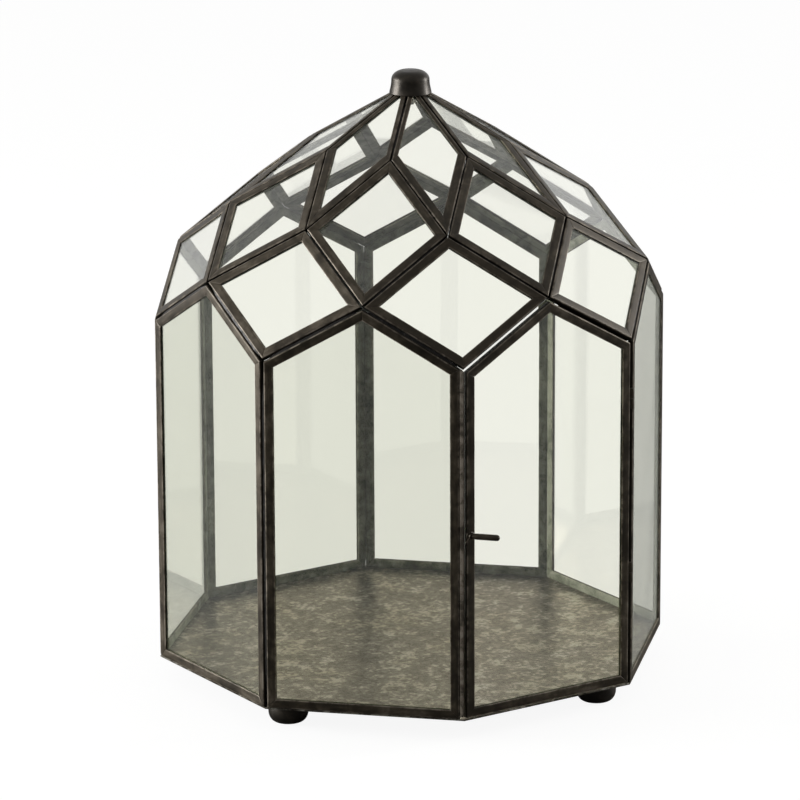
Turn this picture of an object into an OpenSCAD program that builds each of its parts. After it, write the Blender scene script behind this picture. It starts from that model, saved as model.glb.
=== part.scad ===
// Glass cloche: an octagonal glass house of soldered came frames, with a hinged door.
// Millimetres, +Z up. The origin is on the floor plane, on the axis of the octagon,
// and the door faces -Y.

/* [Body] */
// Radius of the wall corners, at the inner faces of the walls
corner_r = 150; // [140:1:160]
// Height of the wall corners above the base plate
wall_h = 206.8; // [190:0.2:220]
// Rise of each of the four steps of the roof
roof_rise = 32.9; // [29:0.1:36]

/* [Came and glass] */
// Width of the came strips, seen from outside
came_w = 5.3; // [4.8:0.1:6.5]
// Width of the strips on the ridges that run up to the finial
ridge_w = 2.8; // [2.6:0.1:3.6]
// Thickness of the came strips
came_t = 3.5; // [3.3:0.1:4]
// Thickness of the folded metal of the came
came_metal = 0.6; // [0.4:0.1:0.6]
// Thickness of the glass
glass_t = 2; // [1.6:0.1:2]
// How far the glass reaches into the came
glass_bite = 2.5; // [2:0.1:2.7]
// Play between the glass and the came on each face
glass_play = 0.15; // [0.05:0.05:0.2]

/* [Base] */
// Thickness of the zinc base plate
plate_t = 1; // [0.8:0.1:1.5]
// Height of the feet
foot_h = 13.5; // [11:0.5:15]
// Radius of the feet
foot_r = 11.75; // [10:0.25:13]
// Distance of the feet from the axis
foot_place_r = 130; // [124:1:132]

/* [Door] */
// Gap beside the door, at the latch and at the hinge
door_side_gap = 0.4; // [0.4:0.1:0.8]
// Gap under the door
door_foot_gap = 0.6; // [0.4:0.1:1]
// Gap over the sloping edge on the latch side
door_latch_slope_gap = 1; // [0.6:0.1:1.6]
// Gap over the sloping edge on the hinge side
door_hinge_slope_gap = 0.6; // [0.4:0.1:1]
// Width that the closing strip on the latch side takes from the neighbouring wall
strip_w = 1.7; // [1.4:0.1:2]

/* [Hinge] */
// Radius of the hinge barrels
barrel_r = 1.1; // [1:0.05:1.15]
// Radius of the hinge pins
pin_r = 0.5; // [0.4:0.05:0.6]
// Length of one barrel
barrel_l = 6; // [5:0.5:10]
// Height of the lower hinge above the floor
hinge_low_z = 82.5; // [60:0.5:100]
// Height of the upper hinge above the floor
hinge_high_z = 187.5; // [150:0.5:198]

/* [Latch] */
// Height of the latch above the floor
latch_z = 124.5; // [112:0.5:132]
// Radius of the latch handle
handle_r = 1.8; // [1.5:0.1:2.2]
// Length of the latch handle
handle_l = 16.5; // [12:0.5:20]
// Angle between the latch handle and the door
handle_angle = 48; // [30:1:60]
// Radius of the latch spindle
spindle_r = 0.9; // [0.7:0.05:0.9]

/* [Finial] */
// Radius of the rim of the finial
finial_r = 12.4; // [11:0.1:13]
// Height of the finial above the point where the roof panes meet
finial_h = 11; // [9.5:0.1:14]
// Radius of the stud that holds the finial
stud_r = 2; // [1.5:0.1:2.2]

/* [Hidden] */
sides = 8;
$fn = 64;

METAL = [0.17, 0.15, 0.12];
GLASS = [0.85, 0.88, 0.82, 0.35];
ZINC = [0.47, 0.45, 0.4];
SOLDER = [0.3, 0.28, 0.25];

turn = 360 / sides;                     // angle from one wall to the next
half_turn = turn / 2;
floor_z = foot_h + plate_t;             // top of the base plate
wall_w = 2 * corner_r * sin(half_turn); // width of a wall between its corners
wall_d = corner_r * cos(half_turn);     // distance of the walls from the axis
seam_gap = 0.03;                        // gap between frames, filled by the solder
mitre_gap = 0.06;                       // gap between two strips at a mitre
running_gap = 0.05;                     // gap between a turning part and its hole
cut = 1;                                // how far a cut runs past the face it opens

// The roof rings: corners of the panes lie at these distances from the axis and heights.
function ring_r(k) = corner_r * cos(half_turn * k);
function ring_z(k) = floor_z + wall_h + roof_rise * k;
apex_z = ring_z(4);

// Slope of the panes in roof row k, from the horizontal
function row_run(k) = ring_r(k) - ring_r(k + 1) * cos(half_turn);
function row_slope(k) = atan2(roof_rise, row_run(k));

// Outlines of the panes, anticlockwise from outside
wall_outline = [[-wall_w / 2, 0], [wall_w / 2, 0], [wall_w / 2, wall_h],
                [0, wall_h + roof_rise], [-wall_w / 2, wall_h]];
function rhombus(k) =
    let (x = ring_r(k + 1) * sin(half_turn), v = norm([row_run(k), roof_rise]))
    [[0, 0], [x, v], [0, 2 * v], [-x, v]];

// Angle between the outward normals of two panes with slopes a and b, turned by c
function fold(a, b, c) = acos(sin(a) * sin(b) * cos(c) + cos(a) * cos(b));

// Outline p with each edge i moved inwards by d[i]
function edge_dir(p, i) = let (e = p[(i + 1) % len(p)] - p[i]) e / norm(e);
function inward(p, i) = let (e = edge_dir(p, i)) [-e.y, e.x];
function inset(p, d) = [for (i = [0:len(p) - 1])
    let (h = (i + len(p) - 1) % len(p), m = inward(p, h), n = inward(p, i),
         det = m.x * n.y - n.x * m.y)
    p[i] + [d[h] * n.y - d[i] * m.y, m.x * d[i] - n.x * d[h]] / det];
function all_edges(p, d) = [for (i = p) d];

// One wall stands in front of the axis and is turned to its azimuth.
module on_wall(azimuth)
    rotate([0, 0, azimuth]) translate([0, -wall_d, floor_z]) rotate([90, 0, 0]) children();

// One roof pane of row k leans back from its lowest corner.
module on_roof(k, azimuth)
    rotate([0, 0, azimuth]) translate([0, -ring_r(k), ring_z(k)])
        rotate([row_slope(k), 0, 0]) children();

// Rows 0 and 2 stand over the wall corners, row 1 over the middle of the walls.
function row_azimuth(k, i) = (i - 1) * turn + (k == 1 ? 0 : half_turn);

// Widths of the strips on the edges of outline p. The top row has narrow ones on its ridges.
function even(p) = all_edges(p, came_w);
function row_widths(k) = k == 2 ? [came_w, ridge_w, ridge_w, came_w] : even(rhombus(k));

// A strip of U-shaped came along edge i of outline p, open towards the glass
module came_strip(p, gaps, widths, i) {
    n = len(p);
    outer = inset(p, gaps);
    inner = inset(p, gaps + widths);
    web = inset(p, gaps + all_edges(p, came_metal));
    beyond = inset(p, gaps + widths + all_edges(p, cut));
    d = edge_dir(p, i);
    j = (i + 1) % n;
    // The mitres run along the lines that join outer and inner corners.
    a = inner[i] - outer[i];
    b = inner[j] - outer[j];
    a_cut = d * mitre_gap / 2 * norm(a) / abs(d.x * a.y - d.y * a.x);
    b_cut = d * mitre_gap / 2 * norm(b) / abs(d.x * b.y - d.y * b.x);
    slot = glass_t + 2 * glass_play;
    difference() {
        linear_extrude(came_t)
            polygon([outer[i] + a_cut, outer[j] - b_cut, inner[j] - b_cut, inner[i] + a_cut]);
        translate([0, 0, (came_t - slot) / 2]) linear_extrude(slot)
            polygon([web[i] - d * came_w, web[j] + d * came_w,
                     beyond[j] + d * came_w, beyond[i] - d * came_w]);
    }
}

module came_frame(p, gaps, widths)
    color(METAL) for (i = [0:len(p) - 1]) came_strip(p, gaps, widths, i);

// The glass ends at least glass_back inside the outer face of the came.
glass_back = 1.3;
module pane(p, gaps, widths)
    color(GLASS) translate([0, 0, (came_t - glass_t) / 2]) linear_extrude(glass_t)
        polygon(inset(p, gaps + [for (w = widths) max(w - glass_bite, glass_back)]));

// A bar with the cross-section profile [outwards, up] along edge i of outline p,
// starting and ending short of its corners
module edge_bar(p, i, profile, short_start, short_end) {
    d = edge_dir(p, i);
    j = (i + 1) % len(p);
    start = p[j] - d * short_end;
    translate([start.x, start.y, 0]) rotate([90, 0, atan2(d.y, d.x) - 90])
        linear_extrude(norm(p[j] - p[i]) - short_start - short_end) polygon(profile);
}

// Solder in the bottom of the groove between two frames whose normals differ by angle
solder_low = 1;
solder_high = 2.2;
solder_gap = 0.08;
solder_short = 4;
module solder_bar(p, i, angle, short_end = solder_short) {
    across = [sin(angle), cos(angle)];
    back = [-cos(angle), sin(angle)] * solder_gap;
    color(SOLDER)
        edge_bar(p, i, [[solder_gap, solder_low], solder_low * across + back,
                        solder_high * across + back, [solder_gap, solder_high]],
                 solder_short, short_end);
}

// The last wall stops short of the doorway, to leave room for the closing strip.
function wall_gaps(i) = [for (edge = [0:len(wall_outline) - 1])
    i == sides - 1 && edge == 1 ? strip_w : seam_gap];

module wall_frame(i)
    on_wall(turn * i) came_frame(wall_outline, wall_gaps(i), even(wall_outline));

module wall_glass()
    for (i = [1:sides - 1])
        on_wall(turn * i) pane(wall_outline, wall_gaps(i), even(wall_outline));

module roof_frame(k, i)
    difference() {
        on_roof(k, row_azimuth(k, i))
            came_frame(rhombus(k), all_edges(rhombus(k), seam_gap), row_widths(k));
        if (k == 2) stud_hole();
    }

module roof_glass(k)
    for (i = [1:sides])
        on_roof(k, row_azimuth(k, i))
            pane(rhombus(k), all_edges(rhombus(k), seam_gap), row_widths(k));

// Solder between neighbouring walls, but not beside the door
module wall_solder()
    for (i = [1:sides - 2]) on_wall(turn * i) solder_bar(wall_outline, 1, turn);

// Solder between the walls and the lowest roof row, but not over the door
module eave_solder() {
    angle = fold(90, row_slope(0), half_turn);
    for (i = [1:sides]) on_roof(0, row_azimuth(0, i)) {
        if (i < sides) solder_bar(rhombus(0), 0, angle);
        if (i > 1) solder_bar(rhombus(0), 3, angle);
    }
}

// Solder between the roof rows, and on the ridges up to the finial
ridge_short = 17;
module roof_solder() {
    for (k = [1, 2], i = [1:sides], edge = [0, 3])
        on_roof(k, row_azimuth(k, i))
            solder_bar(rhombus(k), edge, fold(row_slope(k - 1), row_slope(k), half_turn));
    for (i = [1:sides])
        on_roof(2, row_azimuth(2, i))
            solder_bar(rhombus(2), 1, fold(row_slope(2), row_slope(2), turn), ridge_short);
}

// The base plate closes the bottom and ends just inside the outer faces of the walls.
plate_set_back = 0.4;
module base_plate()
    color(ZINC) translate([0, 0, foot_h]) rotate([0, 0, half_turn])
        cylinder(r = (wall_d + came_t - plate_set_back) / cos(half_turn), h = plate_t, $fn = sides);

// Bun feet under every second corner, on studs soldered to the plate
foot_stud_l = 7;
foot_stud_r = 1.5;
module at_foot(azimuth) rotate([0, 0, azimuth]) translate([0, -foot_place_r, 0]) children();

module foot(azimuth)
    color(METAL) at_foot(azimuth) difference() {
        rotate_extrude() {
            square([foot_r - foot_h / 2, foot_h]);
            translate([foot_r - foot_h / 2, foot_h / 2]) intersection() {
                circle(foot_h / 2);
                translate([-cut, -foot_h / 2]) square([foot_h / 2 + cut, foot_h]);
            }
        }
        translate([0, 0, foot_h - foot_stud_l]) cylinder(r = foot_stud_r, h = foot_stud_l + cut);
    }

module foot_studs()
    color(SOLDER) for (azimuth = [half_turn : 2 * turn : 360]) at_foot(azimuth)
        translate([0, 0, foot_h - foot_stud_l]) cylinder(r = foot_stud_r, h = foot_stud_l);

// The finial sits on the ridges. A stud through the apex holds it, with a nut inside.
ridge_fall = roof_rise / ring_r(3);
finial_gap = 0.1;
ridge_top = came_t / cos(row_slope(2)) + finial_gap;
finial_top_r = 5.5;
finial_taper = 1.2;
finial_bore = 7.5;
washer_r = 8;
washer_t = 1.2;
nut_r = 4;
nut_t = 3.2;
washer_gap = 0.05;
washer_drop = washer_r * tan(row_slope(2)) + washer_gap;
stud_end = 1;
stud_hole_gap = 0.2;

module stud_hole()
    translate([0, 0, apex_z - 2 * came_t]) cylinder(r = stud_r + stud_hole_gap, h = 4 * came_t);

module finial()
    color(METAL) translate([0, 0, apex_z]) difference() {
        rotate_extrude() {
            polygon([[0, ridge_top], [finial_r, ridge_top - finial_r * ridge_fall],
                     [finial_r - finial_taper, finial_h - finial_top_r],
                     [finial_r - finial_taper - finial_top_r, finial_h], [0, finial_h]]);
            translate([finial_r - finial_taper - finial_top_r, finial_h - finial_top_r])
                intersection() {
                    circle(finial_top_r);
                    translate([-cut, -cut]) square(finial_top_r + 2 * cut);
                }
        }
        cylinder(r = stud_r, h = finial_bore);
    }

module finial_stud()
    color(SOLDER) translate([0, 0, apex_z - washer_drop - washer_t - nut_t - stud_end])
        cylinder(r = stud_r, h = washer_drop + washer_t + nut_t + stud_end + finial_bore);

module finial_washer()
    color(SOLDER) translate([0, 0, apex_z - washer_drop - washer_t]) difference() {
        cylinder(r = washer_r, h = washer_t);
        translate([0, 0, -cut]) cylinder(r = stud_r, h = washer_t + 2 * cut);
    }

module finial_nut()
    color(SOLDER) translate([0, 0, apex_z - washer_drop - washer_t - nut_t]) difference() {
        cylinder(r = nut_r, h = nut_t, $fn = 6);
        translate([0, 0, -cut]) cylinder(r = stud_r, h = nut_t + 2 * cut);
    }

// The door is a whole wall pane in its own frame, with gaps all round.
door_gaps = [door_foot_gap, door_side_gap, door_hinge_slope_gap, door_latch_slope_gap,
             door_side_gap];
door_face = -wall_d - came_t;

module door_frame()
    difference() {
        on_wall(0) came_frame(wall_outline, door_gaps, even(wall_outline));
        latch_axis() translate([0, 0, -came_t - cut])
            cylinder(r = spindle_r + running_gap, h = came_t + 2 * cut);
    }

module door_glass() on_wall(0) pane(wall_outline, door_gaps, even(wall_outline));

// The stop is soldered inside the roof, behind the door's sloping edge at the hinge side.
stop_play = 0.3;
stop_t = 0.8;
stop_overlap = 2.4;
stop_short_low = 0.5;
stop_short_high = 10;
stop_gap = 0.08;
module door_stop() {
    slope = fold(90, row_slope(0), half_turn);
    function under_roof(depth) = depth / tan(slope) - stop_gap;
    color(SOLDER) on_wall(0)
        edge_bar(wall_outline, 2, [[-stop_overlap, -stop_play - stop_t],
                                   [under_roof(stop_play + stop_t), -stop_play - stop_t],
                                   [under_roof(stop_play), -stop_play],
                                   [-stop_overlap, -stop_play]],
                 stop_short_low, stop_short_high);
}

// The closing strip fills the edge of the last wall up the doorway. Its nose reaches into the
// corner groove, so that no light passes beside the door. Its top lies under the sloping roof.
strip_low = 0.2;
strip_high = 3.3;
strip_nose_low = 1.2;
strip_nose = 0.7;
strip_groove = 0.3;
strip_groove_low = 2.3;
strip_short = 1.5;
strip_top_gap = 0.1;
module closing_strip() {
    edge = wall_w / 2 - strip_w + seam_gap;
    corner = wall_w / 2 - seam_gap;
    far = corner + strip_nose + cut;
    function top(x) = wall_h - strip_top_gap + (wall_w / 2 - x) * roof_rise / (wall_w / 2);
    color(METAL) on_wall(-turn) intersection() {
        rotate([-90, 0, 0]) linear_extrude(wall_h + roof_rise)
            polygon([[edge, -strip_low], [corner, -strip_low], [corner, -strip_nose_low],
                     [corner + strip_nose, -strip_nose_low], [corner + strip_nose, -strip_high],
                     [edge + strip_groove, -strip_high],
                     [edge + strip_groove, -strip_groove_low], [edge, -strip_groove_low]]);
        linear_extrude(strip_high + cut)
            polygon([[edge - cut, strip_short], [far, strip_short], [far, top(far)],
                     [edge - cut, top(edge - cut)]]);
    }
}

// Hinges: a post barrel below and a door barrel above, both on one pin in the corner groove
hinge_out = 3.1;
lug_t = 0.8;
lug_deep = 2.4;
lug_set_back = 0.2;
lug_clear = 0.05;
barrel_gap = 0.2;
hinge_heights = [hinge_low_z, hinge_high_z];
hinge_x = (corner_r + hinge_out) * sin(half_turn);
hinge_y = (corner_r + hinge_out) * cos(half_turn);

module at_hinge(z) translate([hinge_x, -hinge_y, z]) children();

// A barrel with the lug that joins it to a frame on its left, whose edge face lies edge_gap
// inside the corner. The lug runs down the groove along that face.
module hinge_barrel(bore_r, edge_gap)
    color(METAL) difference() {
        union() {
            cylinder(r = barrel_r, h = barrel_l);
            translate([wall_w / 2 - edge_gap + lug_clear - hinge_x,
                       hinge_y + door_face + lug_set_back, 0])
                cube([edge_gap + lug_t - door_side_gap, lug_deep, barrel_l]);
        }
        translate([0, 0, -cut]) cylinder(r = bore_r, h = barrel_l + 2 * cut);
    }

module hinge_post_barrels()
    for (z = hinge_heights)
        rotate([0, 0, half_turn]) mirror([1, 0, 0]) rotate([0, 0, -half_turn])
            at_hinge(z - barrel_l - barrel_gap / 2) hinge_barrel(pin_r, seam_gap);

module hinge_door_barrels()
    for (z = hinge_heights)
        at_hinge(z + barrel_gap / 2) hinge_barrel(pin_r + running_gap, door_side_gap);

module hinge_pins()
    color(SOLDER) for (z = hinge_heights)
        at_hinge(z - barrel_l - barrel_gap / 2) cylinder(r = pin_r, h = 2 * barrel_l + barrel_gap);

// The latch turns on a spindle through the door's stile. Its handle lies level when the
// door is free. A quarter turn down swings the tongue behind the neighbouring wall.
latch_in = 1.7;
boss_r = 2.6;
boss_t = 1;
boss_clear = 0.05;
handle_start = 0.8;
tail_r = 0.6;
tail_l = 5.5;
tongue_depth = 4.2;
tongue_t = 1.2;
tongue_w = 2.2;
tongue_l = 5.2;
tongue_hub_r = 1.45;
rivet_r = 1.3;
rivet_t = 0.8;
latch_x = -wall_w / 2 + door_side_gap + latch_in;

// Local +z points out of the door, with z = 0 on its outer face
module latch_axis() translate([latch_x, door_face, latch_z]) rotate([90, 0, 0]) children();

module latch_boss()
    color(METAL) latch_axis() translate([0, 0, boss_clear]) difference() {
        cylinder(r = boss_r, h = boss_t);
        translate([0, 0, -cut]) cylinder(r = spindle_r + running_gap, h = boss_t + 2 * cut);
    }

module latch_handle() {
    base_z = 2 * boss_clear + boss_t;
    color(METAL) latch_axis() translate([0, 0, base_z]) difference() {
        union() {
            cylinder(r = handle_r, h = handle_r);
            translate([0, 0, handle_start]) intersection() {
                rotate([0, 90 - handle_angle, 0]) union() {
                    cylinder(r = handle_r, h = handle_l - handle_r);
                    translate([0, 0, handle_l - handle_r]) sphere(handle_r);
                }
                translate([-handle_l, -handle_l, -handle_start])
                    cube([3 * handle_l, 2 * handle_l, 2 * handle_l]);
            }
            translate([0, 0, tail_r]) rotate([0, 90, -135]) cylinder(r = tail_r, h = tail_l);
        }
        translate([0, 0, -cut]) cylinder(r = spindle_r, h = cut + handle_start);
    }
}

module latch_spindle() {
    inner_end = -came_t - tongue_depth - tongue_t;
    color(SOLDER) latch_axis() {
        translate([0, 0, inner_end])
            cylinder(r = spindle_r, h = 2 * boss_clear + boss_t + handle_start - inner_end);
        translate([0, 0, inner_end - rivet_t]) cylinder(r = rivet_r, h = rivet_t);
    }
}

module latch_tongue()
    color(METAL) latch_axis() translate([0, 0, -came_t - tongue_depth - tongue_t]) difference() {
        union() {
            cylinder(r = tongue_hub_r, h = tongue_t);
            translate([-tongue_w / 2, -tongue_l, 0]) cube([tongue_w, tongue_l, tongue_t]);
        }
        translate([0, 0, -cut]) cylinder(r = spindle_r, h = tongue_t + 2 * cut);
    }

base_plate();
foot(half_turn);  // foot_front_right
foot(half_turn + 2 * turn);  // foot_rear_right
foot(half_turn + 4 * turn);  // foot_rear_left
foot(half_turn + 6 * turn);  // foot_front_left
foot_studs();
wall_glass();
roof_glass(0);  // lower_roof_glass
roof_glass(1);  // middle_roof_glass
roof_glass(2);  // upper_roof_glass
for (i = [1:sides - 1])
    wall_frame(i);
for (i = [1:sides]) {
    roof_frame(0, i);
    roof_frame(1, i);
    roof_frame(2, i);
}
wall_solder();
eave_solder();
roof_solder();
finial();
finial_stud();
finial_washer();
finial_nut();
door_frame();
door_glass();
door_stop();
closing_strip();
hinge_post_barrels();
hinge_door_barrels();
hinge_pins();
latch_boss();
latch_handle();
latch_spindle();
latch_tongue();
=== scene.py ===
"""Looks of the glass cloche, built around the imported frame.

Metres, +Z up, the door faces -Y. Each pane is made in its own plane, with x along the wall
or row, y up the pane and z outwards, and is then set in its place on the octagon.
"""

import math

import bmesh
import bpy
from mathutils import Matrix, Vector, noise


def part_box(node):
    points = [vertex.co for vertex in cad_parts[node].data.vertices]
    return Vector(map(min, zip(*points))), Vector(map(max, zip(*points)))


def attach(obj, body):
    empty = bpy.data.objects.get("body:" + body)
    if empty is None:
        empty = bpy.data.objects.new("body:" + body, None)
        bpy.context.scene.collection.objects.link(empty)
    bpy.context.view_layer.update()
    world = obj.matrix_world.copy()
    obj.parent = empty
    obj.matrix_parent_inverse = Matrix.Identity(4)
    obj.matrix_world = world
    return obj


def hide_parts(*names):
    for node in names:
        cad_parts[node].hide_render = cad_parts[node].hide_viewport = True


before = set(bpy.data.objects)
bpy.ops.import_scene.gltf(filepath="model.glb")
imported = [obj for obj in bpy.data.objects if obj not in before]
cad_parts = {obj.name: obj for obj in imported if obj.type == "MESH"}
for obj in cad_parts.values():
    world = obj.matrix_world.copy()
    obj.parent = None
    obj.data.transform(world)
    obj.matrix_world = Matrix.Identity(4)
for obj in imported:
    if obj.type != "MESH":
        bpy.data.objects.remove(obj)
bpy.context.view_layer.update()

# ---------------------------------------------------------------- driving dimensions

MM = 0.001
SIDES = 8
TURN = 2 * math.pi / SIDES
HALF_TURN = TURN / 2

CORNER_R = 150 * MM
WALL_H = 206.8 * MM
ROOF_RISE = 32.9 * MM
CAME_W = 5.3 * MM
RIDGE_W = 2.8 * MM        # strips on the ridges below the finial
CAME_T = 3.5 * MM
CAME_METAL = 0.6 * MM
GLASS_T = 2 * MM
GLASS_BITE = 2.5 * MM
GLASS_BACK = 1.3 * MM     # least distance of the glass from the came's outer face
GLASS_PLAY = 0.15 * MM
SEAM_GAP = 0.03 * MM
MITRE_GAP = 0.06 * MM
DOOR_GAPS = [0.6 * MM, 0.4 * MM, 0.6 * MM, 1 * MM, 0.4 * MM]
STRIP_W = 1.7 * MM        # taken from the last wall by the closing strip

PLATE_LOW, PLATE_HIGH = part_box("base_plate")
FLOOR_Z = PLATE_HIGH.z
WALL_W = 2 * CORNER_R * math.sin(HALF_TURN)
WALL_D = CORNER_R * math.cos(HALF_TURN)
APEX_Z = FLOOR_Z + WALL_H + 4 * ROOF_RISE

# ---------------------------------------------------------------- camera

CAMERA_AZIMUTH = math.radians(-33.54)
CAMERA_ELEVATION = math.radians(15.36)
CAMERA_ROLL = math.radians(-0.25)
CAMERA_DISTANCE = 3.0575                  # a long lens from far away, as the photo was taken
CAMERA_LENS = 231.47
CLIP_START, CLIP_END = 0.1, 50
TARGET_SIDE = -6.9 * MM                   # what it looks at, to the right of the axis
TARGET_Z = PLATE_LOW.z + 150.1 * MM       # and above the floor


def outwards(azimuth, elevation):
    """Direction away from the object. Azimuth 0 is the door's side."""
    level = math.cos(elevation)
    return Vector((math.sin(azimuth) * level, -math.cos(azimuth) * level, math.sin(elevation)))


def make_camera():
    back = outwards(CAMERA_AZIMUTH, CAMERA_ELEVATION)
    right = Vector((math.cos(CAMERA_AZIMUTH), math.sin(CAMERA_AZIMUTH), 0))
    up = back.cross(right)
    place = right * TARGET_SIDE + Vector((0, 0, TARGET_Z)) + back * CAMERA_DISTANCE
    side = right * math.cos(CAMERA_ROLL) + up * math.sin(CAMERA_ROLL)
    top = up * math.cos(CAMERA_ROLL) - right * math.sin(CAMERA_ROLL)
    turned = Matrix((side, top, back)).transposed().to_4x4()
    data = bpy.data.cameras.new("camera")
    data.lens = CAMERA_LENS
    data.clip_start, data.clip_end = CLIP_START, CLIP_END
    camera = bpy.data.objects.new("camera", data)
    camera.matrix_world = Matrix.Translation(place) @ turned
    bpy.context.scene.collection.objects.link(camera)
    bpy.context.scene.camera = camera


# ---------------------------------------------------------------- node trees


def add(tree, kind, inputs=None, **settings):
    """A node of that kind. An input is a value or another node's output."""
    made = tree.nodes.new(kind)
    for key, value in settings.items():
        setattr(made, key, value)
    for key, value in (inputs or {}).items():
        if isinstance(value, bpy.types.NodeSocket):
            tree.links.new(value, made.inputs[key])
        else:
            made.inputs[key].default_value = value
    return made


def grey(value):
    return (value, value, value, 1)


def maths(tree, operation, a, b=0.0, clamp=False):
    made = add(tree, "ShaderNodeMath", {0: a, 1: b}, operation=operation, use_clamp=clamp)
    return made.outputs[0]


def weighted(tree, *terms):
    """Sum of pairs of (output, weight)."""
    parts = [maths(tree, "MULTIPLY", output, weight) for output, weight in terms]
    total = parts[0]
    for part in parts[1:]:
        total = maths(tree, "ADD", total, part)
    return total


def stretched(tree, place, factors):
    made = add(tree, "ShaderNodeVectorMath", {0: place, 1: factors}, operation="MULTIPLY")
    return made.outputs[0]


def blend(tree, share, a, b, mode="MIX"):
    """Colour a turning to b as share goes from 0 to 1."""
    made = add(tree, "ShaderNodeMix", {0: share, 6: a, 7: b}, data_type="RGBA", blend_type=mode)
    return made.outputs[2]


def speckle(tree, place, scale, detail=3.0, roughness=0.5, distortion=0.0):
    """Noise from 0 to 1 over the place."""
    inputs = {"Vector": place, "Scale": scale, "Detail": detail, "Roughness": roughness,
              "Distortion": distortion}
    return add(tree, "ShaderNodeTexNoise", inputs).outputs["Fac"]


def ramp(tree, share, *stops):
    """Colours or greys at places between 0 and 1."""
    made = add(tree, "ShaderNodeValToRGB", {"Fac": share})
    elements = made.color_ramp.elements
    while len(elements) < len(stops):
        elements.new(0.5)
    for element, (place, colour) in zip(elements, stops):
        element.position = place
        element.color = grey(colour) if isinstance(colour, (int, float)) else (*colour, 1)
    return made.outputs["Color"]


def mark(tree, name, output="Fac"):
    """A vertex attribute that a piece carries, or 0 on a piece without it."""
    return add(tree, "ShaderNodeAttribute", attribute_name=name).outputs[output]


def seen_directly(tree):
    """1 for rays from the camera, also through glass, and 0 for reflections and light."""
    ray = add(tree, "ShaderNodeLightPath").outputs
    return maths(tree, "MAXIMUM", ray["Is Camera Ray"], ray["Is Transmission Ray"])


def place_in_object(tree):
    return add(tree, "ShaderNodeTexCoord").outputs["Object"]


def new_material(name):
    material = bpy.data.materials.new(name)
    material.use_nodes = True
    tree = material.node_tree
    tree.nodes.clear()
    return material, tree


def close(tree, surface):
    add(tree, "ShaderNodeOutputMaterial", {"Surface": surface})


# ---------------------------------------------------------------- materials

# The palettes are stops of a ramp: a place between 0 and 1, and a colour.
PATINA = ((0.38, (0.007, 0.006, 0.004)), (0.46, (0.017, 0.014, 0.0095)),
          (0.53, (0.042, 0.034, 0.023)), (0.62, (0.10, 0.085, 0.063)))
BARE_METAL = ((0.49, (0.013, 0.015, 0.0085)), (0.54, (0.040, 0.045, 0.028)),
              (0.59, (0.088, 0.096, 0.067)), (0.67, (0.165, 0.176, 0.135)),
              (0.75, (0.28, 0.29, 0.238)))
# Lighter colour of the folds and lips: wear, and a painted highlight
WEAR_AND_HIGHLIGHT_COLOUR = (0.40, 0.35, 0.285, 1)
# Near black of the groove's corner: painted shade, over the dark patina of its web
GROOVE_SHADE_AND_PATINA = (0.003, 0.003, 0.002, 1)
TURNED = ((0.35, (0.009, 0.008, 0.0065)), (0.55, (0.02, 0.017, 0.013)),
          (0.75, (0.05, 0.04, 0.03)))
SOLDERED = ((0.35, (0.008, 0.007, 0.0055)), (0.6, (0.02, 0.017, 0.014)),
            (0.8, (0.07, 0.065, 0.055)))
PLATED = ((0.35, (0.2, 0.195, 0.18)), (0.7, (0.42, 0.41, 0.385)))
ZINC = ((0.40, (0.040, 0.033, 0.025)), (0.46, (0.084, 0.075, 0.060)),
        (0.52, (0.170, 0.158, 0.134)), (0.58, (0.43, 0.415, 0.365)))
ZINC_STAIN = (0.78, 0.75, 0.66, 1)
GLASS_TINT = ((0.0, (0.785, 0.795, 0.725)), (0.5, (0.90, 0.907, 0.85)), (1.0, (0.99, 0.99, 0.955)))

# Gloss of the brown metals is warm.
CAME_GLOSS = (1.0, 0.86, 0.68, 1)
TURNED_GLOSS = (1.0, 0.9, 0.78, 1)
ZINC_GLOSS = (1.0, 0.9, 0.75, 1)

STREAKS = (30, 900, 9)    # per metre along a strip, across it, and from strip to strip
TOOL_RINGS = (40, 40, 2600)
FACET_TILT = (0.06, 0.06, 0)
GRAIN_BEND = (0.004, 0.004, 0)
GLASS_IOR = 1.5


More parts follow.
